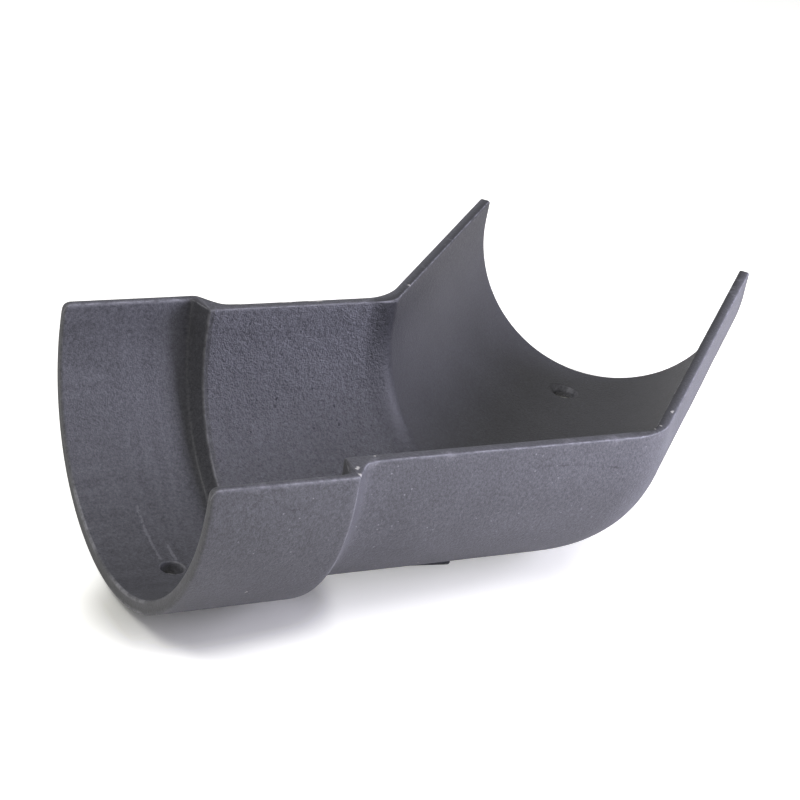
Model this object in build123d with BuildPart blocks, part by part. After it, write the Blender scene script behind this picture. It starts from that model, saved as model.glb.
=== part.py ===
"""Obtuse gutter angle for a deep half-round cast-iron gutter, in millimetres.

One casting: a short socket arm runs along +X, then the trough turns half a right angle to the left,
in the rim plane, and ends in a plain spigot. The rim is at z = 0 and the trough hangs below it. The origin
is the middle of the socket's mouth, at rim height.
"""
from build123d import *
from math import cos, radians, sin, sqrt, tan
import os

os.makedirs("parts", exist_ok=True)

# Trough section: a half circle under short upright sides, open at the top
trough_inside_radius = 58.3
trough_wall = 4.5
trough_upright = 11.0

# Run of the trough, measured on its centre line; the casting turns a shade under its nominal 45 degrees
turn_angle = 44.5
socket_arm_length = 159.0
spigot_arm_length = 163.5
outside_bend_radius = 30.0
inside_bend_radius = 8.0

# Socket: wider than the trough's outside by a gap for the jointing paste, with a thicker floor
socket_side_gap = 6.2
socket_floor_gap = 0.7
socket_side_wall = 3.5
socket_floor = 5.5
socket_depth = 51.5

# Shoulders between socket and trough; the outer one starts a little past the socket's depth
inner_shoulder_slope = 3.0
shoulder_past_socket = 2.5
shoulder_slope = 7.0

# Gutter bolt holes, drilled in the floor by eye, each a little to one side of the middle
bolt_hole_radius = 4.5
socket_hole_from_mouth = 24.5
socket_hole_to_right = 2.0
spigot_hole_from_end = 26.5
spigot_hole_to_left = 2.2
countersink_radius = 6.75
countersink_angle = 90.0

# Low stub of the casting gate on the underside, towards the outside of the bend
gate_length = 29.0
gate_width = 12.0
gate_height = 3.2
gate_from_mouth = 103.0
gate_lean = 18.0
gate_corner = 2.5
gate_draft = 12.0
gate_root = 2.5

# Edges softened by the sand mould and the paint
mouth_corner_radius = 3.0
spigot_corner_radius = 2.2
outer_shoulder_radius = 3.0
outer_root_radius = 4.0
inner_corner_radius = 2.0
inner_lip_radius = 1.5
rim_edge_bevel = 0.6
hole_edge_bevel = 0.6
gate_edge_radius = 0.8

# Sizes that follow from the ones above
trough_outside_radius = trough_inside_radius + trough_wall
trough_depth = trough_outside_radius + trough_upright
socket_inside_radius = trough_outside_radius + socket_side_gap
socket_outside_radius = socket_inside_radius + socket_side_wall
socket_inside_upright = trough_depth + socket_floor_gap - socket_inside_radius
socket_outside_upright = trough_depth + socket_floor_gap + socket_floor - socket_outside_radius
shoulder_start = socket_depth + shoulder_past_socket
shoulder_end = shoulder_start + shoulder_slope
inner_lip = socket_depth + inner_shoulder_slope
socket_inside_depth = socket_inside_radius + socket_inside_upright
trough_inside_depth = trough_inside_radius + trough_upright
widest_wall = max(trough_wall, socket_side_wall) + rim_edge_bevel

half_turn = radians(turn_angle / 2)
spigot_direction = Vector(cos(2 * half_turn), sin(2 * half_turn), 0)
spigot_side = Vector(-sin(2 * half_turn), cos(2 * half_turn), 0)
bend_point = Vector(socket_arm_length, 0, 0)
spigot_end = bend_point + spigot_direction * spigot_arm_length

mitre_slant = 1 / cos(half_turn)
mitre_across = (-sin(half_turn), cos(half_turn), 0)
mitre_normal = (cos(half_turn), sin(half_turn), 0)

# Cuts reach this far past the metal, and the bend is lofted through this many sections
clear = 6.0
bend_stations = 5

# Distances within which an edge counts as lying in a plane, under the rim or round a hole
same_plane = 0.01
under_rim = 0.1
round_hole = 1.1 * bolt_hole_radius


def close_over(floor, above):
    """Upright sides from the ends of the floor curve, and a top at the given height."""
    right_side = Line(floor @ 1, ((floor @ 1).X, above))
    left_side = Line(floor @ 0, ((floor @ 0).X, above))
    Line(right_side @ 1, left_side @ 1)


def square_section(plane, radius, upright, above):
    """Half circle with upright sides, as seen looking straight along the trough."""
    with BuildSketch(plane) as section:
        with BuildLine():
            close_over(CenterArc((0, -upright), radius, 180, 180), above)
        make_face()
    return section.sketch


def mitre_section(point, radius, upright, above):
    """The same section cut parallel to the mitre, where the slant makes it wider across."""
    with BuildSketch(Plane(point, mitre_across, mitre_normal)) as section:
        with BuildLine():
            width = radius * mitre_slant
            floor = EllipticalCenterArc((0, -upright), width, radius, 180, arc_size=180)
            close_over(floor, above)
        make_face()
    return section.sketch


def mitred_run(radius, upright, above, bend_radius, start, overrun):
    """Two straight arms cut parallel to the mitre, and a bend that carries that cut round between them."""
    setback = bend_radius * tan(half_turn)
    bend_begins = bend_point - Vector(setback, 0, 0)
    bend_ends = bend_point + spigot_direction * setback
    stations = []
    for step in range(bend_stations):
        angle = 2 * half_turn * step / (bend_stations - 1)
        point = bend_begins + Vector(sin(angle), 1 - cos(angle), 0) * bend_radius
        stations.append(mitre_section(point, radius, upright, above))
    with BuildPart() as socket_arm:
        extrude(square_section(Plane.YZ.offset(start), radius, upright, above),
                amount=bend_begins.X + radius - start)
        split(bisect_by=Plane(bend_begins, z_dir=mitre_normal), keep=Keep.BOTTOM)
    with BuildPart() as spigot_arm:
        arm_start = Plane(bend_ends - spigot_direction * radius, x_dir=spigot_side, z_dir=spigot_direction)
        extrude(square_section(arm_start, radius, upright, above),
                amount=radius + spigot_arm_length - setback + overrun)
        split(bisect_by=Plane(bend_ends, z_dir=mitre_normal), keep=Keep.TOP)
    with BuildPart() as run:
        loft(stations)
        add(socket_arm.part)
        add(spigot_arm.part)
    return run.part


def edges_across(part, from_mouth):
    """Edges round the section at one distance from the mouth, without those along the rim."""
    found = part.edges().filter_by_position(Axis.X, from_mouth - same_plane, from_mouth + same_plane)
    return found.filter_by(lambda edge: edge.center().Z < -under_rim)


def in_mouth(point):
    """Whether a point lies in the plane of the socket's mouth."""
    return abs(point.X) < same_plane


def in_spigot_end(point):
    """Whether a point lies in the plane of the spigot's end."""
    return abs((point - spigot_end).dot(spigot_direction)) < same_plane


def on_socket_hole(edge):
    """Whether an edge runs round the bolt hole in the socket."""
    point = edge.center()
    from_axis = (point - Vector(socket_hole_from_mouth, -socket_hole_to_right, point.Z)).length
    return edge.is_closed and from_axis < round_hole


# Outside of the trough from shoulder to spigot, and the waterway through it, open at the top and the ends
trough_outside = mitred_run(trough_outside_radius, trough_upright, 0, outside_bend_radius, shoulder_end, 0)
waterway = mitred_run(trough_inside_radius, trough_upright, clear, inside_bend_radius, inner_lip, clear)

with BuildPart() as gutter_angle:
    add(trough_outside)

    # Outside of the socket, and the shoulder that steps down to the trough
    socket_outside = square_section(Plane.YZ, socket_outside_radius, socket_outside_upright, 0)
    extrude(socket_outside, amount=shoulder_start)
    loft([
        square_section(Plane.YZ.offset(shoulder_start), socket_outside_radius, socket_outside_upright, 0),
        square_section(Plane.YZ.offset(shoulder_end), trough_outside_radius, trough_upright, 0),
    ], ruled=True)
    fillet(edges_across(gutter_angle, shoulder_start), outer_shoulder_radius)
    fillet(edges_across(gutter_angle, shoulder_end), outer_root_radius)

    # Waterway through the trough, and the socket's own hollow with its square inner shoulder
    add(waterway, mode=Mode.SUBTRACT)
    socket_hollow = square_section(Plane.YZ.offset(-clear), socket_inside_radius, socket_inside_upright, clear)
    extrude(socket_hollow, amount=clear + socket_depth, mode=Mode.SUBTRACT)
    loft([
        square_section(Plane.YZ.offset(socket_depth), socket_inside_radius, socket_inside_upright, clear),
        square_section(Plane.YZ.offset(inner_lip), trough_inside_radius, trough_upright, clear),
    ], ruled=True, mode=Mode.SUBTRACT)
    fillet(edges_across(gutter_angle, socket_depth), inner_corner_radius)
    fillet(edges_across(gutter_angle, inner_lip), inner_lip_radius)

    # Corners of the rim at the mouth and at the spigot's two tips, then a narrow bevel along rim and ends
    rim_edges = gutter_angle.edges().filter_by_position(Axis.Z, -same_plane, same_plane)
    fillet(rim_edges.filter_by(lambda edge: in_mouth(edge.center())), mouth_corner_radius)
    rim_edges = gutter_angle.edges().filter_by_position(Axis.Z, -same_plane, same_plane)
    fillet(rim_edges.filter_by(lambda edge: in_spigot_end(edge.center())), spigot_corner_radius)
    rim_faces = gutter_angle.faces().filter_by_position(Axis.Z, -same_plane, same_plane)
    end_faces = gutter_angle.faces().filter_by(
        lambda face: in_mouth(face.center()) or in_spigot_end(face.center())
    )
    along_the_wall = (rim_faces + end_faces).edges().filter_by(lambda edge: edge.length > widest_wall)
    chamfer(along_the_wall, rim_edge_bevel)

    # Plain bolt hole in the socket's floor
    with Locations((socket_hole_from_mouth, -socket_hole_to_right, clear - socket_inside_depth)):
        Hole(bolt_hole_radius, depth=socket_floor + 2 * clear)

    # Bolt hole in the spigot's floor, countersunk from inside for the head of the bolt
    countersink_rise = trough_inside_radius - sqrt(trough_inside_radius**2 - countersink_radius**2)
    spigot_hole = spigot_end - spigot_direction * spigot_hole_from_end + spigot_side * spigot_hole_to_left
    with Locations((spigot_hole.X, spigot_hole.Y, countersink_rise - trough_inside_depth)):
        CounterSinkHole(bolt_hole_radius, countersink_radius, counter_sink_angle=countersink_angle,
                        depth=trough_wall + clear)
    hole_rims = gutter_angle.edges().filter_by(on_socket_hole)
    chamfer(hole_rims, hole_edge_bevel)

    # Stub left where the iron ran in, standing out from the underside with drafted sides
    lean = radians(gate_lean)
    gate_out = Vector(0, -sin(lean), -cos(lean))
    gate_seat = Vector(gate_from_mouth, 0, -trough_upright) + gate_out * (trough_outside_radius - gate_root)
    with BuildSketch(Plane(gate_seat, x_dir=(1, 0, 0), z_dir=gate_out)) as gate_outline:
        RectangleRounded(gate_length, gate_width, gate_corner)
    extrude(amount=gate_root + gate_height, taper=gate_draft)
    gate_face = gutter_angle.faces(Select.LAST).sort_by(Axis(gate_seat, gate_out))[-1]
    fillet(gate_face.edges(), gate_edge_radius)

gutter_angle.part.label = "gutter_angle"
export_step(gutter_angle.part, "parts/gutter_angle.step")
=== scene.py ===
"""Looks of a cast-iron gutter angle: the painted casting, its pale floor, soft light and the camera.

Lengths inside the shape functions are in millimetres, and become metres where a mesh is made. The casting keeps
the frame of the solid model: the origin is the middle of the socket's mouth at rim height, the socket arm runs
along +X, the second arm turns towards +Y, and +Z is up out of the open top.
"""
import bpy
import itertools
import numpy as np
from bpy.props import FloatProperty, FloatVectorProperty, PointerProperty
from functools import partial
from math import radians
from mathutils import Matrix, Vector


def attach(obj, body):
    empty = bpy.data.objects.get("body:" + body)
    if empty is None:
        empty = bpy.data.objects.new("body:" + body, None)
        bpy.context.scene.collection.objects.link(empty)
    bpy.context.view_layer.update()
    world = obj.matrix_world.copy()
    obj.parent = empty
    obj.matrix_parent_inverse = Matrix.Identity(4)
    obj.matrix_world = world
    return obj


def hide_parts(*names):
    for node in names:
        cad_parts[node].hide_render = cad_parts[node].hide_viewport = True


bl_info = {
    "name": "Gutter angle",
    "version": (1, 0, 0),
    "blender": (4, 5, 0),
    "location": "3D View > Sidebar > Gutter angle",
    "description": "Builds a painted cast-iron gutter angle on its floor, with its light and camera",
    "category": "Add Mesh",
}

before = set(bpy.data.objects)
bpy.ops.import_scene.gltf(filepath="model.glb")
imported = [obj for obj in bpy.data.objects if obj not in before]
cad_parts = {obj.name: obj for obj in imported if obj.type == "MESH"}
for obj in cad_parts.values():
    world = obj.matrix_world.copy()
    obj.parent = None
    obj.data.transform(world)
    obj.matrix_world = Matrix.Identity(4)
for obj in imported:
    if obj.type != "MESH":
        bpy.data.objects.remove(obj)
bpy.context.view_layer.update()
NODE = "gutter_angle"
MM = 1000.0

# Points of the mesh: down each upright side, round the half circle, across the wall at an end, and over an arris
UPRIGHTS = 8
ARC = 136
FLAT_RINGS = 3
ARRIS_RINGS = 4

# Shares by which the rings round a bolt hole are drawn in from their window's border to a circle
DRAWN_IN = (0.22, 0.42, 0.6, 0.76, 0.89)

# Stretches of the mouth's edge, in y, where the paint is worn off most: each rises over two places and falls over two
SMEARS = ((10, 18, 38, 46), (-36, -28, -8, 0))

# Marks in the paint, in millimetres: a radius, and a place or the two ends of a line
RIDGES = ((0.6, (22.4, 31, -67.1), (22.4, 18, -72.1)), (0.6, (22.4, 18, -72.1), (22.4, 5, -74.3)),
          (0.6, (28.0, 12, -73.45), (28.0, 3.5, -74.4)))
PITS = ((0.6, (94.5, 55.9, -27.4)), (0.5, (101, 53.3, -34.5)), (0.7, (85.6, 52.2, -36.8)),
        (0.6, (84.6, 50.8, -39.5)), (0.6, (110.4, 50, -41)), (0.5, (100.4, 45.1, -47.9)),
        (0.7, (111.6, 45.6, -47.3)), (0.5, (128, 53.6, -33.8)))
SCUFFS = ((0.5, (134.5, -62.8, -8.5), (152, -62.8, -9.5)), (0.5, (154, -62.8, -10.2), (168, -62.8, -12.2)),
          (0.35, (28.4, -72.4, -10.1), (32.9, -72.4, -10.5)), (0.6, (30.6, -71.6, -18.8), (31.4, -71.6, -19)))
CHIPS = ((0.7, (55.1, -66.9, 0), (55.9, -66.1, 0)), (0.55, (54.6, -71.2, -0.3), (54.4, -70.6, 0)),
         (0.5, (65.6, -59.6, 0)), (0.55, (198.3, -47.1, 0), (199.4, -46.2, 0)), (0.6, (187.4, -55.9, 0)),
         (0.5, (183.3, -58, 0)), (0.5, (86, 62, 0), (90, 62, 0)), (0.55, (98, 62, 0), (103, 61.5, 0)),
         (0.6, (148, 72.1, 0)), (0.4, (102.2, -43.5, -56.2)), (0.5, (25.3, -58.7, -50)))

# The plane that the casting rests on, lying tilted on its socket and its spigot's end: its upward direction, a point
# of it in millimetres, and how far the sheet lies below that, so that the rough skin never cuts through it
FLOOR_UP = (-0.0573, 0.0583, 0.9967)
FLOOR_POINT = (53.5, -0.7, -80.0)
FLOOR_BELOW = 0.3
FLOOR_MIDDLE = (100.0, 10.0, 0.0)
FLOOR_LINES = 161

# Strips of the floor beside the casting where its glow is taken away, a painted shadow: start and end of the line
# below the trough, how fast the nearness falls off past its edge, and how near the strip counts
PAINTED_SHADOW_HALF_WIDTH = 22
PAINTED_SHADOW_STRIPS = (((20, -20), (50, -18), 13, 1.0), ((50, -10), (159, -10), 17, 0.6),
          ((159, -10), (262, 98), 17, 0.6), ((250, 90), (260, 100), 9, 1.0))

# Lamps: bearing and height in degrees, distance from the casting's middle in metres, share of the power, and colour
LAMPS = {
    "soft_key": (-36, 24, 0.85, 1.0, "#e8e7ff"),
    "front_fill": (-72, 8, 1.2, 0.48, "#eeedff"),
    "back_fill": (178, 50, 1.2, 0.48, "#ffffff"),
}
LAMP_SIZE = 0.5
CASTING_MIDDLE = (0.16, 0.02, -0.04)

# The camera's place in metres, and its turn about X, Y and Z in degrees
CAMERA_PLACE = (-0.286627, -0.628034, 0.340873)
CAMERA_TURN = (64.6804, -9.8486, -27.6006)


def length(name, description, default):
    """A length property, in metres."""
    return FloatProperty(name=name, description=description, default=default, min=0.0, unit="LENGTH")


def colour(name, description, default):
    """A colour property, in sRGB as it is seen."""
    return FloatVectorProperty(
        name=name, description=description, default=default, size=3, min=0.0, max=1.0, subtype="COLOR_GAMMA")


def sample(text):
    """The three sRGB parts, 0 to 1, of a hex colour."""
    return tuple(int(text[i:i + 2], 16) / 255 for i in (1, 3, 5))


class CastingSettings(bpy.types.PropertyGroup):
    """Sizes and paint of the casting."""
    trough_inside: length("Trough inside radius", "Half circle of the waterway", 0.0583)
    trough_outside: length("Trough outside radius", "Half circle outside the trough", 0.0628)
    trough_upright: length("Trough upright side", "Straight side above the half circle", 0.011)
    socket_inside: length("Socket inside radius", "Half circle of the socket's recess", 0.069)
    socket_outside: length("Socket outside radius", "Half circle outside the socket", 0.0725)
    socket_inside_upright: length("Socket inside upright", "Straight side inside the socket", 0.0055)
    socket_outside_upright: length("Socket outside upright", "Straight side outside the socket", 0.0075)
    socket_depth: length("Socket depth", "From the mouth to the step inside", 0.0515)
    first_arm: length("Socket arm", "From the mouth to the bend on the centre line", 0.159)
    second_arm: length("Spigot arm", "From the bend to the spigot's end on the centre line", 0.1635)
    turn: FloatProperty(
        name="Turn", description="How far the second arm turns", default=radians(44.5), subtype="ANGLE")
    outside_bend: length("Outside bend radius", "Bend of the outer surface at the mitre", 0.030)
    inside_bend: length("Inside bend radius", "Bend of the waterway at the mitre", 0.008)
    rim_rounding: length("Rim rounding", "How far the edges of the rim are worn round", 0.0009)
    mouth_corner: length("Mouth corner radius", "Rounding of the rim's corners at the mouth", 0.003)
    spigot_corner: length("Spigot corner radius", "Rounding of the rim's corners at the spigot", 0.0022)
    bolt_hole: length("Bolt hole radius", "Radius of both bolt holes", 0.0045)
    countersink: length("Countersink radius", "Radius of the countersink in the spigot's floor", 0.00675)
    socket_hole_from_mouth: length("Socket hole from mouth", "Along the centre line", 0.0245)
    socket_hole_to_right: length("Socket hole to the right", "Across from the middle of the floor", 0.002)
    spigot_hole_from_end: length("Spigot hole from end", "Along the centre line", 0.0265)
    spigot_hole_to_left: length("Spigot hole to the left", "Across from the middle of the floor", 0.0022)
    grid_step: length("Mesh step", "Distance between the mesh's lines", 0.00145)
    gate_length: length("Gate stub length", "Along the socket arm", 0.024)
    gate_width: length("Gate stub width", "Round the trough", 0.012)
    gate_height: length("Gate stub height", "Out of the underside", 0.0028)
    gate_corner: length("Gate stub corner radius", "Rounding of its outline", 0.0025)
    gate_from_mouth: length("Gate stub from mouth", "Its middle along the socket arm", 0.1185)
    gate_lean: FloatProperty(
        name="Gate stub lean", description="How far it lies round the trough towards the right",
        default=radians(18), subtype="ANGLE")
    gate_draft: FloatProperty(
        name="Gate stub draft", description="How far its sides lean in", default=radians(12), subtype="ANGLE")
    paint: colour("Paint", "Slate-grey paint", sample("#5c5c61"))
    thin_paint: colour("Thin paint", "Paint worn thin over pale primer on the edges", sample("#a3a2a8"))
    chip: colour("Chips", "Pale primer laid bare where paint has chipped", sample("#d9d6d0"))


class StageSettings(bpy.types.PropertyGroup):
    """Floor, light and surroundings."""
    floor: colour("Floor", "Matt white sheet under the casting", sample("#f5f4ec"))
    floor_size: length("Floor size", "Side of the square floor", 6.0)
    floor_glow: FloatProperty(
        name="Floor glow", description="How much brighter the camera sees the floor than it lights",
        default=0.78, min=0.0)
    key_strength: FloatProperty(
        name="Key light", description="Power of the soft light from the right", default=8.8, min=0.0, unit="POWER")
    surround: FloatProperty(
        name="Surround", description="Strength of the pale surroundings", default=0.33, min=0.0)
    lens: FloatProperty(name="Lens", description="Focal length on a 36 mm sensor", default=99.01, min=1.0)


def smooth_step(start, end, x):
    """0 before start, 1 after end, and 3t^2 - 2t^3 of the share t between them."""
    t = np.clip((x - start) / (end - start), 0.0, 1.0)
    return t * t * (3 - 2 * t)


def soft_rise(x, softness):
    """A line that bends upward at zero: half of x plus the root of x squared and softness squared."""
    return (x + np.sqrt(x * x + softness * softness)) / 2


def step_share(x, start, end, soft_start, soft_end):
    """A straight ramp from 0 to 1 between start and end, its two corners rounded like hyperbolas."""
    return (soft_rise(x - start, soft_start) - soft_rise(x - end, soft_end)) / (end - start)


def even_profile(ramp, drop, start, end, closeness, count):
    """Places along a stepped profile, evenly spaced along its own length and closer near the mouth.

    The length is the sum of root(dx^2 + (drop * dshare)^2), weighted by the closeness wanted at each place.
    """
    x = np.linspace(start, end, 6000)
    share = ramp(x)
    pace = np.hypot(np.diff(x), drop * np.diff(share)) * closeness((x[1:] + x[:-1]) / 2)
    travelled = np.concatenate([[0.0], np.cumsum(pace)])
    even = np.linspace(0, travelled[-1], count)
    return np.interp(even, travelled, x), np.interp(even, travelled, share)


def lattice_noise(points, size, seed):
    """Smooth noise from -1 to 1: random values on a lattice of the given size, blended between its corners by the
    smoothed share 3f^2 - 2f^3 along each axis."""
    lattice = np.random.default_rng(seed).uniform(-1, 1, (32, 32, 32))
    scaled = points / size
    cell = np.floor(scaled).astype(int)
    share = scaled - cell
    share = share * share * (3 - 2 * share)
    total = np.zeros(len(points))
    for corner in itertools.product((0, 1), repeat=3):
        weight = np.prod(np.where(corner, share, 1 - share), axis=1)
        i, j, k = ((cell + corner) % 32).T
        total += weight * lattice[i, j, k]
    return total


class Run:
    """Where the trough goes: its two straight arms and the mitred bend between them, all in millimetres.

    The section changes from the socket's to the trough's before the station even_from.
    """

    def __init__(self, settings):
        self.half = settings.turn / 2
        self.first = settings.first_arm * MM
        self.second = settings.second_arm * MM
        self.end = self.first + self.second
        self.socket = settings.socket_depth * MM
        self.even_from = self.socket + 16.5
        self.outside_bend = settings.outside_bend * MM
        self.inside_bend = settings.inside_bend * MM
        self.along = np.array([np.cos(2 * self.half), np.sin(2 * self.half)])
        self.left = np.array([-np.sin(2 * self.half), np.cos(2 * self.half)])
        self.across = np.array([-np.sin(self.half), np.cos(self.half)])
        self.normal = np.array([np.cos(self.half), np.sin(self.half)])
        self.reach = self.outside_bend * np.sin(self.half)

    def bent_line(self, m, bend):
        """How far the centre line lies to the left of the mitre line at distance m past the mitre: |m| tan h on the
        straights, and b / cos h - root(b^2 - m^2) on the arc of radius b."""
        inside = np.abs(m) < bend * np.sin(self.half)
        arc = bend / np.cos(self.half) - np.sqrt(np.maximum(bend ** 2 - m ** 2, 0))
        return np.where(inside, arc, np.abs(m) * np.tan(self.half))

    def place(self, station, slant, y, bend):
        """Plan position for a station on the centre line and a distance y to its left.

        Before the bend it is (station - slant y tan h, y), after it the same along the second arm with the slant
        turned round, and in the bend mitre + normal m + across (line(m) + y / cos h). Stations run on as m / cos h.
        """
        m = (station - self.first) * np.cos(self.half)
        tan = np.tan(self.half)
        on_first = np.stack([station - slant * y * tan, y], -1)
        past = (station - self.first) + slant * y * tan
        on_second = [self.first, 0] + past[..., None] * self.along + y[..., None] * self.left
        side = self.bent_line(m, bend) + y / np.cos(self.half)
        bent = [self.first, 0] + m[..., None] * self.normal + side[..., None] * self.across
        past_bend = np.where((m > self.reach)[..., None], on_second, bent)
        return np.where((m < -self.reach)[..., None], on_first, past_bend)

    def outward(self, station):
        """Unit direction to the left of the run, turning evenly through the bend."""
        m = (station - self.first) * np.cos(self.half)
        turned = smooth_step(-self.reach, self.reach, m) * 2 * self.half
        return np.stack([-np.sin(turned), np.cos(turned)], -1)


class Section:
    """Half circle under upright sides, in the section's own y and z, for one side of the wall."""

    def __init__(self, trough_radius, trough_upright, socket_radius, socket_upright):
        self.trough = np.array([trough_radius, trough_upright]) * MM
        self.socket = np.array([socket_radius, socket_upright]) * MM

    def sizes(self, share):
        """Radius and upright side at a share from 0, in the socket, to 1, in the trough."""
        both = self.socket + (self.trough - self.socket) * np.asarray(share)[..., None]
        return both[..., 0], both[..., 1]

    def floor(self, share, y):
        """Height of the half circle at a distance y from the middle: -(upright + root(r^2 - y^2))."""
        radius, upright = self.sizes(share)
        return -(upright + np.sqrt(radius ** 2 - y ** 2))

    def outline(self, share, top, uprights, arc):
        """(y, z, y part and z part of the outward direction) along the outline, from the left rim down and round to
        the right one: z runs evenly down the upright side, and the angle evenly round the half circle."""
        radius, upright = (v[:, None] for v in self.sizes(share))
        top = top[:, None]
        down = np.linspace(0, 1, uprights, endpoint=False)[None]
        angle = np.linspace(0, -np.pi, arc + 1)[None]
        side = top + (-upright - top) * down
        y = np.concatenate([radius + 0 * side, radius * np.cos(angle), -radius + 0 * side], 1)
        z = np.concatenate([side, -upright + radius * np.sin(angle), side[:, ::-1]], 1)
        out_y = np.concatenate([1 + 0 * side, np.cos(angle) + 0 * radius, -1 + 0 * side], 1)
        out_z = np.concatenate([0 * side, np.sin(angle) + 0 * radius, 0 * side], 1)
        return y, z, out_y, out_z


def stations_of(run, settings):
    """Every station along the casting, for the outer and the inner surface.

    Each has its place on the centre line and its share from socket to trough. The stations that close an end also
    have how far they are drawn in: flat is 0 in the middle of the wall and 1 at the arris, and inset is the arris
    rounded as r (1 - sin a), while its place moves by r (1 - cos a).
    """
    step = settings.grid_step * MM
    rounding = settings.rim_rounding * MM
    step_starts, step_ends = run.socket, run.socket + 3.0
    shoulder_starts, shoulder_ends = run.socket + 2.5, run.socket + 9.5

    def closeness(x):
        """1 on plain stretches, and more near the mouth and at the two corners of the inner step."""
        corners = np.exp(-((x - step_starts) / 0.9) ** 2) + np.exp(-((x - step_ends) / 0.9) ** 2)
        return 1 + 2.2 * np.exp(-(x / 2.6) ** 2) + 2.5 * corners

    def outer_ramp(x):
        return step_share(x, shoulder_starts, shoulder_ends, 0.9, 2.2)

    def inner_ramp(x):
        return step_share(x, step_starts, step_ends, 0.5, 0.2)

    count = int(run.even_from / step * 1.4)
    outer_x, outer_share = even_profile(outer_ramp, 8.0, rounding, run.even_from, closeness, count)
    inner_x, inner_share = even_profile(inner_ramp, 9.0, rounding, run.even_from, closeness, count)

    bend_begins = run.first - run.reach / np.cos(run.half)
    bend_ends = run.first + run.reach / np.cos(run.half)
    first = np.linspace(run.even_from, bend_begins, int((bend_begins - run.even_from) / step) + 1)[1:]
    bend = np.linspace(bend_begins, bend_ends, int((bend_ends - bend_begins) / step * 1.15) + 1)[1:-1]
    x = np.linspace(bend_ends, run.end - rounding, 4000)
    travelled = np.concatenate([[0.0], np.cumsum(np.diff(x) * closeness(run.end - x[1:]))])
    second = np.interp(np.linspace(0, travelled[-1], int(travelled[-1] / step)), travelled, x)
    middle = np.concatenate([first, bend, second])

    angle = np.linspace(0, np.pi / 2, ARRIS_RINGS + 1)[:-1]
    flat = np.linspace(0, 1, FLAT_RINGS + 1)[1:-1]
    place_near = np.concatenate([0 * flat, rounding * (1 - np.cos(angle))])
    flat_near = np.concatenate([flat, 1 + 0 * angle])
    inset_near = np.concatenate([rounding + 0 * flat, rounding * (1 - np.sin(angle))])

    outer = np.concatenate([place_near, outer_x, middle, run.end - place_near[::-1]])
    inner = np.concatenate([place_near, inner_x, middle, run.end - place_near[::-1]])
    ones = np.ones(len(middle) + len(place_near))
    outer_share = np.concatenate([0 * place_near + outer_share[0], outer_share, ones])
    inner_share = np.concatenate([0 * place_near + inner_share[0], inner_share, ones])
    zeros = np.zeros(count + len(middle))
    flat_all = np.concatenate([flat_near, zeros + 1, flat_near[::-1]])
    inset_all = np.concatenate([inset_near, zeros, inset_near[::-1]])
    return outer, inner, outer_share, inner_share, flat_all, inset_all


def slant_at(run, station):
    """0 at both ends, where sections are square to the run, and 1 at the bend, where they lie along the mitre."""
    up = smooth_step(run.even_from - 6, run.first - 24, station)
    down = 1 - smooth_step(run.first + 24, run.end - 40, station)
    return np.where(station < run.first, up, down)


def rim_drop(distance, radius):
    """How far a corner rounded to a radius lies below the rim at a distance d from the end:
    r - root(r^2 - (r - d)^2)."""
    inward = np.clip(radius - distance, 0, radius)
    return radius - np.sqrt(radius ** 2 - inward ** 2)


def weave(grid):
    """Two triangles for each cell of a grid of point numbers whose rows are closed loops."""
    following = np.roll(grid, -1, 1)
    a, b, c, d = (corner.ravel() for corner in (grid[:-1], following[:-1], following[1:], grid[1:]))
    return np.concatenate([np.stack([a, b, c], -1), np.stack([a, c, d], -1)])


def faced_outward(points, faces):
    """Triangles turned so that a closed sheet faces outward, and its volume: the sum of a . (b x c) / 6."""
    a, b, c = points[faces].transpose(1, 0, 2)
    volume = np.einsum("ij,ij->i", a, np.cross(b, c)).sum() / 6
    return (faces if volume > 0 else faces[:, ::-1]), abs(volume)


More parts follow.
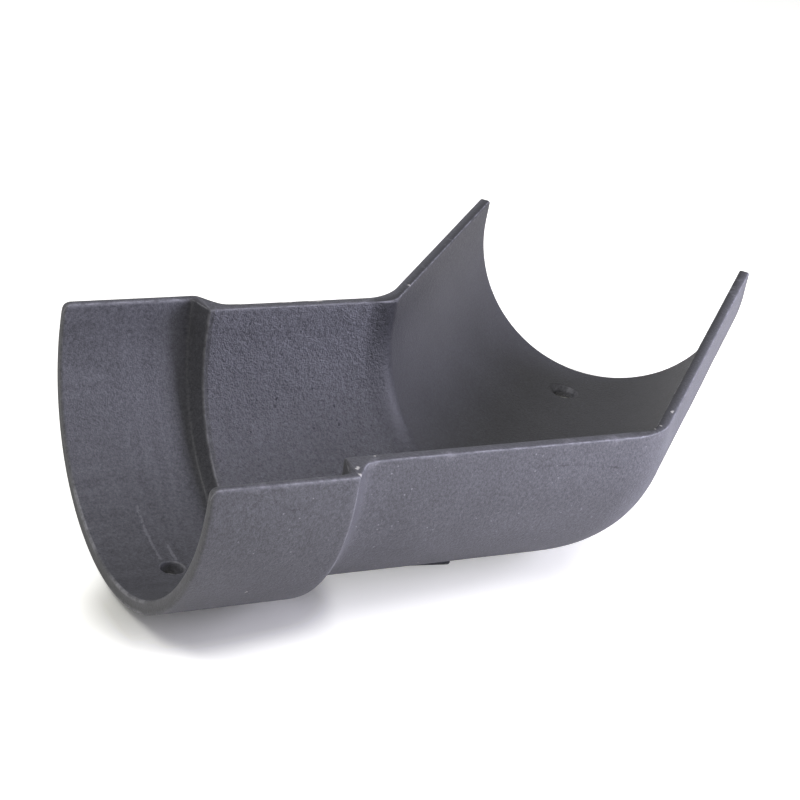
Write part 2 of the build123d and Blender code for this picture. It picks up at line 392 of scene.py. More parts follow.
def casting_surface(settings):
    """The whole casting as one closed sheet.

    Round the section the sheet goes down and up the outer surface, over the right rim, along the inner surface and
    back over the left rim. Along the run that loop is carried from station to station. At both ends the loop is
    drawn in to the middle of the wall, where its two sides meet. Two windows in the floor are filled by rings that
    shrink to the bolt holes and go through the wall.
    """
    run = Run(settings)
    rounding = settings.rim_rounding * MM
    outside = Section(
        settings.trough_outside, settings.trough_upright, settings.socket_outside, settings.socket_outside_upright)
    inside = Section(
        settings.trough_inside, settings.trough_upright, settings.socket_inside, settings.socket_inside_upright)
    outer_at, inner_at, outer_share, inner_share, flat, inset = stations_of(run, settings)

    # The thin rim of the socket is worn 1.6 times as round as the trough's
    rim_round = rounding * (1.6 - 0.6 * (outer_share + inner_share) / 2)
    mouth_corner, spigot_corner = settings.mouth_corner * MM, settings.spigot_corner * MM
    top_outer, top_inner = (
        -rim_round - rim_drop(at, mouth_corner) - rim_drop(run.end - at, spigot_corner)
        for at in (outer_at, inner_at))
    outer_y, outer_z, outer_ny, outer_nz = outside.outline(outer_share, top_outer, UPRIGHTS, ARC)
    inner_y, inner_z, inner_ny, inner_nz = inside.outline(inner_share, top_inner, UPRIGHTS, ARC)
    across = outer_y.shape[1]

    # Over a rim the place goes from outer to inner by the share w, rounded at both arrises
    angle = np.linspace(0, np.pi / 2, ARRIS_RINGS + 1)[1:]
    wall = np.abs(outer_y[:, 0] - inner_y[:, 0])[:, None]
    near = rim_round[:, None] * (1 - np.cos(angle))[None] / wall
    w = np.concatenate([near, 1 - near[:, ::-1]], 1)
    lift = rim_round[:, None] * np.concatenate([np.sin(angle), np.sin(angle)[::-1]])[None]
    arris = np.concatenate([np.sin(2 * angle) ** 6, np.sin(2 * angle)[::-1] ** 6])
    side_part = np.concatenate([np.cos(angle), -np.cos(angle)[::-1]])[None]
    up_part = np.concatenate([np.sin(angle), np.sin(angle)[::-1]])[None]

    def cap(sign, column):
        station = outer_at[:, None] * (1 - w) + inner_at[:, None] * w
        y = outer_y[:, column:column + 1] * (1 - w) + inner_y[:, column:column + 1] * w
        z = outer_z[:, column:column + 1] * (1 - w) + inner_z[:, column:column + 1] * w + lift
        return station, y, z, sign * side_part + 0 * w, up_part + 0 * w

    over_right = cap(-1.0, across - 1)
    over_left = [part[:, ::-1] for part in cap(1.0, 0)]
    outer_station = np.repeat(outer_at[:, None], across, 1)
    inner_station = np.repeat(inner_at[:, None], across, 1)
    station = np.concatenate([outer_station, over_right[0], inner_station, over_left[0]], 1)
    y = np.concatenate([outer_y, over_right[1], inner_y[:, ::-1], over_left[1]], 1)
    z = np.concatenate([outer_z, over_right[2], inner_z[:, ::-1], over_left[2]], 1)
    out_y = np.concatenate([outer_ny, over_right[3], -inner_ny[:, ::-1], over_left[3]], 1)
    out_z = np.concatenate([outer_nz, over_right[4], -inner_nz[:, ::-1], over_left[4]], 1)
    caps = over_right[1].shape[1]
    side = np.concatenate([np.zeros(across), np.linspace(0, 1, caps), np.ones(across), np.linspace(1, 0, caps)])
    side = np.repeat(side[None], len(outer_at), 0)
    worn = np.concatenate([np.zeros(across), arris, np.zeros(across), arris])[None]
    smears = sum(smooth_step(a, b, y) * (1 - smooth_step(c, d, y)) for a, b, c, d in SMEARS)
    at_end = np.where((inset > 0) & (flat > 0.99), 1.0, 0.0)[:, None]
    at_end = at_end * np.where(station < run.first, 0.15 + 0.85 * smears, 0.3)
    edge = np.maximum(worn, at_end)
    rim_depth = 4.0
    rim = 1 - smooth_step(0.0, rim_depth, top_outer[:, None] + rim_round[:, None] - z)

    # The middle of the wall that each point of the loop is drawn in to
    half_wall = wall / 2
    middle_y = (outer_y + inner_y) / 2
    middle_z = (outer_z + inner_z) / 2
    middle_z[:, :UPRIGHTS] = np.minimum(middle_z[:, :UPRIGHTS], middle_z[:, :1] + rim_round[:, None] - half_wall)
    middle_z[:, -UPRIGHTS:] = np.minimum(middle_z[:, -UPRIGHTS:], middle_z[:, -1:] + rim_round[:, None] - half_wall)
    mate = np.concatenate([
        np.arange(across), np.full(caps, across - 1), np.arange(across)[::-1], np.zeros(caps, int)])
    to_y, to_z = y - middle_y[:, mate], z - middle_z[:, mate]
    reach = np.maximum(np.hypot(to_y, to_z), 1e-6)
    kept = (reach - np.minimum(inset[:, None], 0.9 * reach)) * flat[:, None] / reach
    y = middle_y[:, mate] + to_y * kept
    z = middle_z[:, mate] + to_z * kept

    slant = slant_at(run, station)
    bend = run.outside_bend * (1 - side) + run.inside_bend * side
    plan = run.place(station, slant, y, bend)
    rows, loop = station.shape
    index = np.arange(rows * loop).reshape(rows, loop)

    def sheet(station, y, z, out_y, out_z, side, rim, edge, plan=None):
        """Columns of every point: place, outward direction, station, y, side of the wall, rim, edge."""
        if plan is None:
            plan = run.place(station, slant_at(run, station), y, run.outside_bend + 0 * y)
        left = run.outward(station)
        return np.column_stack([
            plan[..., 0].ravel(), plan[..., 1].ravel(), z.ravel(),
            (left[..., 0] * out_y).ravel(), (left[..., 1] * out_y).ravel(), out_z.ravel(),
            station.ravel(), y.ravel(), side.ravel(), rim.ravel(), edge.ravel()])

    parts = [sheet(station, y, z, out_y, out_z, side, rim, edge, plan)]
    size = rows * loop
    triangles = []

    keep = np.ones((rows - 1, loop), bool)

    def bolt_hole(along, to_left, window, countersink):
        """Rings from the window in the inner floor to the hole, through the wall, and out to the outer window.

        On each floor a ring is the window's border drawn in towards a circle about the hole's axis, and its height
        is the floor's own at that place. A window reaches as far to each side as its value says. With a countersink
        the rings run down a 90 degree cone, and otherwise over a quarter circle.
        """
        nonlocal size
        radius = settings.bolt_hole * MM
        rows_in = np.flatnonzero(np.abs(inner_at - along) < window)
        i0, i1 = rows_in[0], rows_in[-1]
        q = np.flatnonzero(np.abs(inner_y[i0] - to_left) < window)
        q = q[(q > UPRIGHTS + 10) & (q < across - UPRIGHTS - 10)]
        q0, q1 = q[0], q[-1]
        to_inner = across + caps + (across - 1) - np.arange(across)
        keep[i0:i1, q0:q1] = False
        inner_first = to_inner[q1]
        keep[i0:i1, inner_first:inner_first + (q1 - q0)] = False
        walk_i = np.concatenate([
            np.arange(i0, i1), np.full(q1 - q0, i1), np.arange(i1, i0, -1), np.full(q1 - q0, i0)])
        walk_q = np.concatenate([
            np.full(i1 - i0, q0), np.arange(q0, q1), np.full(i1 - i0, q1), np.arange(q1, q0, -1)])
        border_in = index[walk_i, to_inner[walk_q]]
        border_out = index[walk_i, walk_q]

        def ring(border, share_at, floor_side, ring_radius, drawn, down):
            """One ring: border places drawn in to a circle, at the floor's height less a drop."""
            a0, y0 = station.ravel()[border], y_flat[border]
            turn = np.arctan2(y0 - to_left, a0 - along)
            a = a0 * (1 - drawn) + (along + ring_radius * np.cos(turn)) * drawn
            b = y0 * (1 - drawn) + (to_left + ring_radius * np.sin(turn)) * drawn
            share = np.interp(a, *share_at)
            height = floor_side.floor(share, b)
            return a, b, height - down, turn

        inner_curve = (inner_at, inner_share)
        outer_curve = (outer_at, outer_share)
        y_flat = y.ravel()
        rings = []

        def put(a, b, h, side_value, out_z_value, rim_value):
            rings.append((a, b, h, side_value + 0 * a, out_z_value + 0 * a, rim_value + 0 * a))

        soft = 0.7
        top_radius = radius + soft
        if countersink:
            turn = np.arctan2(y_flat[border_in] - to_left, station.ravel()[border_in] - along)
            y_top = to_left + (countersink - 0.15) * np.sin(turn)
            seat = inside.floor(1.0, countersink)
            rim_radius = countersink - (seat - inside.floor(1 + 0 * y_top, y_top))
            top_radius = rim_radius + 0.25
        for drawn in DRAWN_IN + (1.0,):
            a, b, h, turn = ring(border_in, inner_curve, inside, top_radius, drawn, 0.0)
            put(a, b, h, 1.0, 1.0, 0.0)
        if countersink:
            cone_top = rim_radius - 0.2
            for share in (0.0, 0.33, 0.66, 1.0):
                cone_radius = cone_top + (radius - cone_top) * share
                a = along + cone_radius * np.cos(turn)
                b = to_left + cone_radius * np.sin(turn)
                put(a, b, seat - (countersink - cone_radius) + 0 * a, 1.0, 0.0, 0.6)
            start = seat - (countersink - radius)
        else:
            for bow in np.radians((30.0, 60.0, 90.0)):
                a, b, h, turn = ring(
                    border_in, inner_curve, inside, radius + soft * (1 - np.sin(bow)), 1.0, soft * (1 - np.cos(bow)))
                put(a, b, h, 1.0, 0.0, 0.6)
            start = h
        bottom = []
        for bow in np.radians((90.0, 60.0, 30.0, 0.0)):
            a, b, h, turn = ring(
                border_out, outer_curve, outside, radius + soft * (1 - np.sin(bow)), 1.0, -soft * (1 - np.cos(bow)))
            bottom.append((a, b, h))
        for share in (0.33, 0.66):
            put(bottom[0][0], bottom[0][1], start + (bottom[0][2] - start) * share, 0.5, 0.0, 0.3)
        for a, b, h in bottom:
            put(a, b, h, 0.0, 0.0, 0.3)
        for drawn in DRAWN_IN[::-1]:
            a, b, h, turn = ring(border_out, outer_curve, outside, radius + soft, drawn, 0.0)
            put(a, b, h, 0.0, -1.0, 0.0)
        a, b, h, side_value, out_value, rim_value = (np.stack(column) for column in zip(*rings))
        parts.append(sheet(a, b, h, 0 * a, out_value, side_value, 0 * a, rim_value))
        new = size + np.arange(a.size).reshape(a.shape)
        size += a.size
        grid = np.concatenate([border_in[None], new, border_out[None]])
        triangles.append(weave(grid))

    socket_window, spigot_window = 9.5, 10.5
    bolt_hole(settings.socket_hole_from_mouth * MM, -settings.socket_hole_to_right * MM, socket_window, 0)
    bolt_hole(
        run.end - settings.spigot_hole_from_end * MM, settings.spigot_hole_to_left * MM, spigot_window,
        settings.countersink * MM)
    triangles.insert(0, weave(index)[np.concatenate([keep.ravel(), keep.ravel()])])

    # Both ends close on the middle line of their wall
    for row, flip in ((0, True), (rows - 1, False)):
        line = sheet(
            np.full(across, outer_at[row]), middle_y[row], middle_z[row], np.zeros(across), np.zeros(across),
            np.full(across, 0.5), np.zeros(across), np.zeros(across),
            run.place(np.full(across, outer_at[row]), np.zeros(across), middle_y[row], np.zeros(across)))
        parts.append(line)
        numbers = size + mate
        size += across
        a, b = index[row], np.roll(index[row], -1)
        c, d = np.roll(numbers, -1), numbers
        first = np.stack([a, b, c], -1)
        second = np.stack([a, c, d], -1)[c != d]
        both = np.concatenate([first, second])
        triangles.append(both[:, ::-1] if flip else both)

    points = np.concatenate(parts)
    faces, volume = faced_outward(points[:, :3], np.concatenate(triangles))
    return points, faces, volume


def roughened(points, settings):
    """Casting skin: every point is moved along its outward direction by three sizes of smooth noise.

    Waves of 45 mm stand for the pattern's unevenness, lumps of 13 mm for the sand, and the peel of 3.4 mm is
    strongest high inside the socket arm. The values kept for each point are what the paint follows.
    """
    place, outward = points[:, :3], points[:, 3:6]
    station, y, side, rim, edge = points[:, 6:11].T
    socket, bend = settings.socket_depth * MM, settings.first_arm * MM
    inside = smooth_step(0.4, 0.6, side)
    first_arm = smooth_step(socket + 3.5, socket + 5.5, station) * (1 - smooth_step(bend - 13, bend - 1, station))
    far_wall = smooth_step(-5, 45, y)
    peel = 0.03 + inside * first_arm * (0.05 + 0.13 * far_wall)
    calm = 1 - 0.75 * rim
    offset = 0.16 * lattice_noise(place, 45.0, 11) + 0.05 * lattice_noise(place, 13.0, 12)
    offset = offset + peel * lattice_noise(place, 3.4, 13)

    # Distance round the section, measured on a mean of the socket's and the trough's
    radius, upright = 66, 9
    around = radius * np.arcsin(np.clip(y / radius, -1, 1)) + np.sign(y) * np.maximum(place[:, 2] + upright, 0)
    return place + outward * (offset * calm)[:, None], dict(
        inside=inside, coarse=inside * first_arm * far_wall,
        socket=inside * (1 - smooth_step(socket - 1.5, socket + 1.5, station)), rim=rim, edge=edge,
        second_arm=inside * smooth_step(bend - 13, bend - 7, station), painted_shade_stub=0 * rim, station=station / MM,
        around=around / MM)


def gate_stub(settings):
    """Stub of the casting gate: a rounded rectangle carried outward from inside the wall, its sides leaning in by the
    draft, its top edge rounded, and both ends closed on the middle.

    The outline is the corner circle's point (r cos t, r sin t) pushed out by the half sides less r, with the signs
    of cos t and sin t. A ring at height h is that outline drawn in by h tan(draft). The stub is broken off lower
    towards the mouth: 0.7 of its height in the middle of its length, and 0.3 more or less at its ends.
    """
    length, width = settings.gate_length * MM, settings.gate_width * MM
    height, corner = settings.gate_height * MM, settings.gate_corner * MM
    root, rounding = 2.5, 0.8
    turn = np.linspace(0, 2 * np.pi, 144, endpoint=False) + 0.001
    around = np.stack([np.cos(turn), np.sin(turn)], -1)
    sides = np.sign(around) * (length / 2 - corner, width / 2 - corner)
    bow = np.linspace(0, np.pi / 2, 5)
    shrunk = (0.75, 0.5, 0.25, 0.0)
    levels = np.concatenate([
        [-root, -1.0, 0.0, (height - rounding) / 2], height - rounding * (1 - np.sin(bow)), [height] * len(shrunk)])
    drawn = np.concatenate([[0] * 4, rounding * (1 - np.cos(bow)), [rounding] * len(shrunk)])
    drawn = drawn + (levels + root) * np.tan(settings.gate_draft)
    scale = np.concatenate([np.ones(9), shrunk])
    rings = (sides + around * np.maximum(corner - drawn, 0.2)[:, None, None]) * scale[:, None, None]
    rings = np.concatenate([rings[:1] * 0, rings])
    levels = np.concatenate([[-root], levels])

    lean = settings.gate_lean
    up = np.array([0.0, -np.sin(lean), -np.cos(lean)])
    across = np.array([0.0, np.cos(lean), -np.sin(lean)])
    seat = MM * np.array([settings.gate_from_mouth, 0.0, -settings.trough_upright]) + up * settings.trough_outside * MM
    lower = np.where(levels[:, None] > 0, 0.7 + 0.3 * rings[..., 0] / (length / 2), 1.0)
    place = seat + rings[..., :1] * (1.0, 0, 0) + rings[..., 1:] * across + (levels[:, None] * lower)[..., None] * up
    place = place + 0.12 * lattice_noise(place.reshape(-1, 3), 6.0, 31).reshape(place.shape[:2])[..., None] * up

    # The first and the last ring are a single point each
    index = np.arange(place[..., 0].size).reshape(place.shape[:2])
    index[0], index[-1] = index[0, 0], index[-1, 0]
    faces = weave(index)
    faces = faces[(faces[:, 0] != faces[:, 1]) & (faces[:, 1] != faces[:, 2]) & (faces[:, 0] != faces[:, 2])]
    points = place.reshape(-1, 3)
    faces = faced_outward(points, faces)[0]
    used, numbers = np.unique(faces, return_inverse=True)
    return points[used], numbers.reshape(faces.shape)


def put_mesh(name, points, faces, attributes):
    """A mesh object at the origin from points in millimetres and triangles, with one value per point for each
    named attribute."""
    mesh = bpy.data.meshes.new(name)
    mesh.vertices.add(len(points))
    mesh.vertices.foreach_set("co", (points / MM).astype(np.float32).ravel())
    mesh.loops.add(faces.size)
    mesh.loops.foreach_set("vertex_index", faces.astype(np.int32).ravel())
    mesh.polygons.add(len(faces))
    mesh.polygons.foreach_set("loop_start", np.arange(0, faces.size, 3, dtype=np.int32))
    for key, values in attributes.items():
        layer = mesh.attributes.new(key, "FLOAT", "POINT")
        layer.data.foreach_set("value", np.asarray(values, np.float32).ravel())
    mesh.update(calc_edges=True)
    mesh.polygons.foreach_set("use_smooth", np.ones(len(faces), bool))
    mesh.update()
    made = bpy.data.objects.new(name, mesh)
    bpy.context.scene.collection.objects.link(made)
    return made


def linear(colour):
    """Linear colour with alpha from an sRGB one: c / 12.92 below 0.04045, else ((c + 0.055) / 1.055)^2.4."""
    c = np.array(sample(colour) if isinstance(colour, str) else tuple(colour))
    return tuple(np.where(c <= 0.04045, c / 12.92, ((c + 0.055) / 1.055) ** 2.4)) + (1.0,)


def add_node(tree, kind, inputs=(), **settings):
    """Adds a shader node, sets its settings, and sets or links its inputs, which are given in order or by name.

    An input that is given as a node takes the first output that the node has in use.
    """
    made = tree.nodes.new("ShaderNode" + kind)
    for name, value in settings.items():
        setattr(made, name, value)
    for name, value in (inputs.items() if isinstance(inputs, dict) else enumerate(inputs)):
        if isinstance(value, bpy.types.Node):
            value = next(output for output in value.outputs if output.enabled)
        if isinstance(value, bpy.types.NodeSocket):
            tree.links.new(value, made.inputs[name])
        else:
            made.inputs[name].default_value = value
    return made


def new_material(name):
    """An empty material with its node tree."""
    material = bpy.data.materials.new(name)
    material.use_nodes = True
    material.node_tree.nodes.clear()
    return material, material.node_tree


def painted_cast_iron(settings):
    """Satin slate-grey brush paint over sand-cast iron: the grain of the sand shows through as pinholes and pimples,
    the paint thins to pale primer on the rim, and it lies in soft brush marks inside the socket. Light and shade are
    painted into it too: shade at the socket's inner step, inside the second arm and on the gate stub, light on the
    coarse wall and along the outside, and highlights on the inner lip and the shoulder."""
    material, tree = new_material("painted_cast_iron")
    node = partial(add_node, tree)
    place = node("TexCoord").outputs["Object"]
    height = node("SeparateXYZ", [place]).outputs["Z"]
    inside, coarse, socket, rim, edge, second_arm, painted_shade_stub, station, around = (
        node("Attribute", attribute_name=name).outputs["Fac"]
        for name in ("inside", "coarse", "socket", "rim", "edge", "second_arm", "painted_shade_stub", "station", "around"))
    outside = node("MapRange", [inside, 0.0, 1.0, 1.0, 0.0])
    step = settings.socket_depth

    # Sand grain of about 1.3 mm and 0.6 mm, as coarse as it needs to be to show
    sand = node("TexNoise", {"Vector": place, "Scale": 780.0, "Detail": 3.0, "Roughness": 0.6})
    grit = node("TexNoise", {"Vector": place, "Scale": 1700.0, "Detail": 2.0, "Roughness": 0.5})
    broken = node("TexNoise", {"Vector": place, "Scale": 210.0, "Detail": 5.0, "Roughness": 0.7})

    # Every mark is drawn on coordinates that sway by up to 0.9 mm, which makes its outline ragged
    sway = node("TexNoise", {"Vector": place, "Scale": 900.0, "Detail": 2.0}).outputs["Color"]
    sway = node("VectorMath", [sway, (0.5, 0.5, 0.5)], operation="SUBTRACT")
    sway = node("VectorMath", {0: sway, "Scale": 0.0018}, operation="SCALE")
    ragged = node("VectorMath", [place, sway], operation="ADD")

    def marks(places):
        """1 within the radius of any of the marks, and 0 outside them all.

        The distance to a mark is the one to its place, or to the nearest point of its line, whose share along it is
        cut off at 0 and 1.
        """
        total = 0.0
        for radius, start, *ends in places:
            point, near = ragged, tuple(v / MM for v in start)
            for end in ends:
                line = tuple(v / MM - u for u, v in zip(near, end))
                point = node("VectorMath", [ragged, near], operation="SUBTRACT")
                share = node("VectorMath", [point, line], operation="DOT_PRODUCT")
                share = node("Math", [share, 1 / sum(v * v for v in line)], operation="MULTIPLY", use_clamp=True)
                near = node("VectorMath", {0: line, "Scale": share}, operation="SCALE")
            away = node("VectorMath", [point, near], operation="DISTANCE")
            one = node("MapRange", [away, 0.7 * radius / MM, 1.2 * radius / MM, 1.0, 0.0])
            total = node("Math", [total, one], operation="MAXIMUM")
        return total

    def product(*factors):
        """All of the factors multiplied."""
        total = factors[0]
        for factor in factors[1:]:
            total = node("Math", [total, factor], operation="MULTIPLY")
        return total

    def largest(*values):
        """The largest of the values."""
        total = values[0]
        for value in values[1:]:
            total = node("Math", [total, value], operation="MAXIMUM")
        return total

    def ring_line(at, half_width, side):
        """1 where the place along the run is within a half width of another one, on one side of the wall."""
        off = node("Math", [station, at], operation="SUBTRACT")
        off = node("Math", [off], operation="ABSOLUTE")
        return product(node("MapRange", [off, 0.3 * half_width, half_width, 1.0, 0.0]), side)

    # Brush marks run along the trough near the socket's mouth, and round it further in
    flow = node("CombineXYZ", [station, around, 0.0])
    run_along, run_round = (
        node("TexNoise", {"Vector": node("Mapping", {"Vector": flow, "Scale": scale}), "Scale": 1.0, "Detail": 3.0,
                          "Roughness": 0.55}) for scale in ((16.0, 190.0, 1.0), (210.0, 14.0, 1.0)))
    further_in = node("MapRange", [station, 0.014, 0.024, 0.0, 1.0])
    brushed = node("Mix", {"Factor": further_in, "A": run_along, "B": run_round})
    brushed = node("MapRange", [brushed, 0.35, 0.65, -0.10, 0.10])

    # The paint's shade: clouds, grain, grit and brush marks, then painted shade and light on each part
    cloud = node("TexNoise", {"Vector": place, "Scale": 34.0, "Detail": 5.0, "Roughness": 0.62})
    shade = product(
        node("MapRange", [cloud, 0.3, 0.7, 0.9, 1.1]), node("MapRange", [sand, 0.3, 0.7, 0.72, 1.28]),
        node("MapRange", [grit, 0.3, 0.7, 0.8, 1.2]))
    shade = node("Math", [brushed, socket, shade], operation="MULTIPLY_ADD")
    # Painted shade: darker towards the socket's inner step and on the step itself, inside only
    corner = product(
        node("MapRange", [station, step - 0.0085, step - 0.0005, 0.0, 1.0]),
        node("MapRange", [station, step + 0.0028, step + 0.0033, 1.0, 0.0]), inside)
    # Painted shade: the inside of the second arm is darker towards its rim
    painted_shade_high = product(node("MapRange", [height, -0.055, -0.010, 0.0, 1.0]), second_arm)
    # Painted light and shade on the outside: darker at the mouth and lighter along the run towards the bend
    painted_light_outside = node("MapRange", [station, 0.0, 0.17, 0.84, 1.18])
    shade = product(
        shade, node("MapRange", [corner, 0.0, 1.0, 1.0, 0.6]), node("MapRange", [painted_shade_high, 0.0, 1.0, 1.0, 0.46]),
        # Painted shade darkens all of the second arm's inside, and painted light brightens the coarse wall of the
        # socket arm
        node("MapRange", [second_arm, 0.0, 1.0, 1.0, 0.8]), node("MapRange", [coarse, 0.0, 0.6, 1.0, 1.14]),
        node("Mix", {"Factor": outside, "A": 1.0, "B": painted_light_outside}))
    paint = node("VectorMath", {0: linear(settings.paint)[:3], "Scale": shade}, operation="SCALE")

    # Pinholes of about 1 mm: the pits that show, and finer ones at random high inside the socket arm
    holes = node("TexVoronoi", {"Vector": place, "Scale": 300.0, "Randomness": 1.0})
    few = node("TexNoise", {"Vector": place, "Scale": 150.0, "Detail": 2.0, "Roughness": 0.5})
    pinholes = largest(marks(PITS), product(
        node("MapRange", [holes, 0.10, 0.17, 1.0, 0.0]), node("MapRange", [few, 0.47, 0.53, 0.0, 1.0]),
        node("MapRange", [coarse, 0.1, 0.6, 0.05, 0.7])))

    # Specks of pale dust and primer of about 0.5 mm, most of them outside
    specks = node("TexVoronoi", {"Vector": place, "Scale": 420.0, "Randomness": 1.0})
    some = node("TexNoise", {"Vector": place, "Scale": 260.0, "Detail": 2.0, "Roughness": 0.5})
    dust = product(
        node("MapRange", [specks, 0.10, 0.16, 1.0, 0.0]), node("MapRange", [some, 0.56, 0.62, 0.0, 0.6]),
        node("MapRange", [inside, 0.0, 1.0, 1.0, 0.15]))

    # Wear: a broken pale line on every edge and patches on top of the rim; the broken pale lines on the inner lip and
    # on the shoulder are painted highlights
    lines = largest(ring_line(step + 0.0031, 0.00055, inside), ring_line(step + 0.0024, 0.00045, outside))
    patches = node("TexNoise", {"Vector": place, "Scale": 120.0, "Detail": 6.0, "Roughness": 0.7})
    wear_and_highlights = largest(
        product(node("MapRange", [broken, 0.42, 0.58, 0.12, 0.62]), edge),
        product(node("MapRange", [broken, 0.4, 0.6, 0.08, 0.4]), lines),
        product(node("MapRange", [patches, 0.56, 0.66, 0.0, 0.3]), rim))

    # From the bottom up: ridges of paint round the socket to its bolt hole, pinholes, scuffs dark with dirt, dust,
    # wear and painted highlights, chips down to primer, and the stub of the gate, painted dark as shade
    for mask, coat in (
            (product(marks(RIDGES), 0.28), settings.thin_paint),
            (product(pinholes, 0.75), "#1d1d21"),
            (product(marks(SCUFFS), node("MapRange", [broken, 0.45, 0.6, 0.0, 0.55])), "#2b2b30"),
            (dust, settings.thin_paint),
            (wear_and_highlights, settings.thin_paint),
            (product(marks(CHIPS), 0.75), settings.chip),
            # Painted shade: the gate stub is painted dark all over
            (product(painted_shade_stub, 0.8), "#27272a")):
        paint = node("Mix", {"Factor": mask, "A": paint, "B": linear(coat)}, data_type="RGBA")

    # The grain stands out nearly four times as high on the coarse wall
    relief = node("Math", [product(sand, 0.62), product(grit, 0.38)], operation="ADD")
    relief = product(relief, node("MapRange", [coarse, 0.0, 0.8, 0.8, 3.0]))
    bump = node("Bump", {"Height": relief, "Strength": 0.8, "Distance": 0.0005})
    gloss = node("MapRange", [sand, 0.3, 0.7, 0.4, 0.56])
    shader = node("BsdfPrincipled", {"Base Color": paint, "Roughness": gloss, "Normal": bump, "IOR": 1.5})
    node("OutputMaterial", {"Surface": shader})
    return material


def white_card(settings):
    """Matt white card: it takes the casting's soft shadow. The camera sees it a little brighter than it lights, so
    that it runs into the white background; that glow is taken away beside the casting, which paints a darker, tighter
    shadow there, and it fades far off to the right, a painted shade."""
    material, tree = new_material("matt_white_card")
    node = partial(add_node, tree)
    # Painted shade: the floor's glow fades far off to the right
    away = node("VectorMath", [node("TexCoord").outputs["Object"], (0.75, 0.66, 0.0)], operation="DOT_PRODUCT")
    painted_shade_fade = node("MapRange", [away, 0.5, 1.9, settings.floor_glow, settings.floor_glow - 0.5])
    # Painted shadow: beside the casting the floor's glow is taken away
    near = node("Attribute", attribute_name="near").outputs["Fac"]
    painted_shadow_loss = node("MapRange", [near, 0.0, 1.0, 1.0, 0.04])
    glow = node("Math", [painted_shade_fade, node("LightPath").outputs["Is Camera Ray"]], operation="MULTIPLY")
    glow = node("Math", [glow, painted_shadow_loss], operation="MULTIPLY")
    matt = node("BsdfDiffuse", {"Color": linear(settings.floor), "Roughness": 0.0})
    white = node("Emission", {"Color": (1, 1, 1, 1), "Strength": glow})
    both = node("AddShader", [matt, white])
    node("OutputMaterial", {"Surface": both})
    return material


def painted_shadow_nearness(points):
    """How near each point of the floor is to the casting: 1 beside the socket and the spigot's end and 0.6 beside
    the rest, falling off as exp(-(d / w)^2), where d is how far the point lies outside a strip. The floor's glow is
    taken away by it, which paints the casting's shadow."""
    most = np.zeros(len(points))
    for start, end, width, weight in PAINTED_SHADOW_STRIPS:
        start, end = np.array(start, float), np.array(end, float)
        line = end - start
        share = np.clip((points[:, :2] - start) @ line / (line @ line), 0, 1)
        away = np.linalg.norm(points[:, :2] - start - share[:, None] * line, axis=1)
        outside = np.maximum(away - PAINTED_SHADOW_HALF_WIDTH, 0)
        most = np.maximum(most, weight * np.exp(-(outside / width) ** 2))
    return most


def floor_sheet(settings):
    """A flat square sheet of points and triangles, with lines that crowd towards its middle as sinh does."""
    up = np.array(FLOOR_UP) / np.linalg.norm(FLOOR_UP)
    one = np.cross([0.0, 1.0, 0.0], up)
    one = one / np.linalg.norm(one)
    two = np.cross(up, one)
    lines = settings.floor_size * MM / 2 * np.sinh(np.linspace(-5, 5, FLOOR_LINES)) / np.sinh(5)
    a, b = np.meshgrid(lines, lines)
    aside = np.array(FLOOR_MIDDLE)
    centre = np.array(FLOOR_POINT) - FLOOR_BELOW * up + aside - up * (aside @ up)
    points = centre + a.reshape(-1, 1) * one + b.reshape(-1, 1) * two
    grid = np.arange(lines.size ** 2).reshape(lines.size, -1)
    a, b, c, d = (corner.ravel() for corner in (grid[:-1, :-1], grid[:-1, 1:], grid[1:, 1:], grid[1:, :-1]))
    return points, np.concatenate([np.stack([a, b, c], -1), np.stack([a, c, d], -1)])


def pale_room(settings):
    """Pale surroundings that light the casting a little. The camera sees them as plain white."""
    world = bpy.data.worlds.new("pale_room")
    world.use_nodes = True
    world.node_tree.nodes.clear()
    node = partial(add_node, world.node_tree)
    path = node("LightPath")
    seen = node("Math", [path.outputs["Is Camera Ray"], path.outputs["Is Transmission Ray"]], operation="MAXIMUM")
    room = node("Background", {"Color": linear("#ffffff"), "Strength": settings.surround})
    white = node("Background", {"Color": (1, 1, 1, 1), "Strength": 1.0})
    node("OutputWorld", {"Surface": node("MixShader", [seen, room, white])})
    return world


def dress(name, points, faces, attributes, finish):
    """A painted piece that stands for the casting's node."""
    piece = put_mesh(name, points, faces, attributes)
    piece.data.materials.append(finish)
    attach(piece, "root")
    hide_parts(NODE)


class GUTTER_OT_casting(bpy.types.Operator):
    """Build the painted casting and the stub of its gate in place of the plain solid"""
    bl_idname = "gutter.casting"
    bl_label = "Casting"

    def execute(self, context):
        settings = context.scene.gutter_casting
        points, faces, volume = casting_surface(settings)
        if not 250000 < volume < 420000:
            raise RuntimeError(f"the casting encloses {volume:.0f} cubic millimetres, which its solid doesn't")
        moved, attributes = roughened(points, settings)
        finish = painted_cast_iron(settings)
        dress("casting", moved, faces, attributes, finish)
        stub, stub_faces = gate_stub(settings)
        plain = np.zeros(len(stub))
        # The gate stub takes the painted shade mark, so that it is painted dark
        dress("gate_stub", stub, stub_faces, {name: plain for name in attributes} | {"painted_shade_stub": plain + 1}, finish)
        return {"FINISHED"}


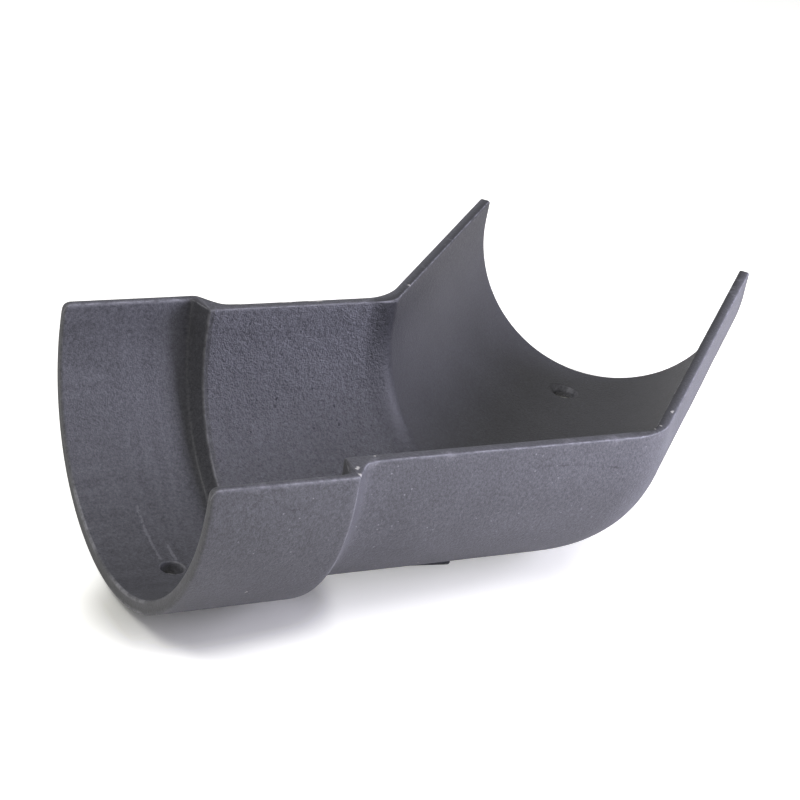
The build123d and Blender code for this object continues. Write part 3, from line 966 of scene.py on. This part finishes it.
class GUTTER_OT_stage(bpy.types.Operator):
    """Lay the floor under the casting where it rests, and set its light, surroundings and camera"""
    bl_idname = "gutter.stage"
    bl_label = "Floor, light and camera"

    def execute(self, context):
        settings = context.scene.gutter_stage
        points, faces = floor_sheet(settings)
        floor = put_mesh("floor", points, faces, {"near": painted_shadow_nearness(points)})
        floor.data.materials.append(white_card(settings))

        scene = context.scene
        scene.view_settings.view_transform = "Standard"
        scene.world = pale_room(settings)

        # A large soft lamp low on the right, a weaker one in front, and one high on the left behind
        target = Vector(CASTING_MIDDLE)
        for name, (bearing, height, away, share, tint) in LAMPS.items():
            light = bpy.data.lights.new(name, "AREA")
            light.shape = "DISK"
            light.size = LAMP_SIZE
            light.energy = settings.key_strength * share
            light.color = linear(tint)[:3]
            lamp = bpy.data.objects.new(name, light)
            around, rise = radians(bearing), radians(height)
            lamp.location = target + away * Vector((
                np.cos(around) * np.cos(rise), np.sin(around) * np.cos(rise), np.sin(rise)))
            lamp.rotation_euler = (target - lamp.location).to_track_quat("-Z", "Y").to_euler()
            scene.collection.objects.link(lamp)

        eye = bpy.data.cameras.new("camera")
        eye.sensor_width = 36.0
        eye.lens = settings.lens
        eye.shift_x, eye.shift_y = -0.00625, -0.025
        eye.clip_start, eye.clip_end = 0.05, 50.0
        camera = bpy.data.objects.new("camera", eye)
        camera.location = CAMERA_PLACE
        camera.rotation_euler = [radians(angle) for angle in CAMERA_TURN]
        scene.collection.objects.link(camera)
        scene.camera = camera
        return {"FINISHED"}


class GUTTER_PT_panel(bpy.types.Panel):
    """Sizes, paint and buttons"""
    bl_idname = "GUTTER_PT_panel"
    bl_label = "Gutter angle"
    bl_space_type = "VIEW_3D"
    bl_region_type = "UI"
    bl_category = "Gutter angle"

    def draw(self, context):
        layout = self.layout
        for settings, operator in ((context.scene.gutter_casting, "gutter.casting"),
                                   (context.scene.gutter_stage, "gutter.stage")):
            box = layout.box()
            for name in settings.__annotations__:
                box.prop(settings, name)
            box.operator(operator)


CLASSES = (CastingSettings, StageSettings, GUTTER_OT_casting, GUTTER_OT_stage, GUTTER_PT_panel)


def register():
    """Registers the classes and hangs their settings on the scene."""
    for item in CLASSES:
        bpy.utils.register_class(item)
    bpy.types.Scene.gutter_casting = PointerProperty(type=CastingSettings)
    bpy.types.Scene.gutter_stage = PointerProperty(type=StageSettings)


def unregister():
    """Takes the settings and the classes away again."""
    del bpy.types.Scene.gutter_stage
    del bpy.types.Scene.gutter_casting
    for item in reversed(CLASSES):
        bpy.utils.unregister_class(item)


def main():
    """Builds everything in order."""
    register()
    bpy.ops.gutter.casting()
    bpy.ops.gutter.stage()


if __name__ == "__main__":
    main()
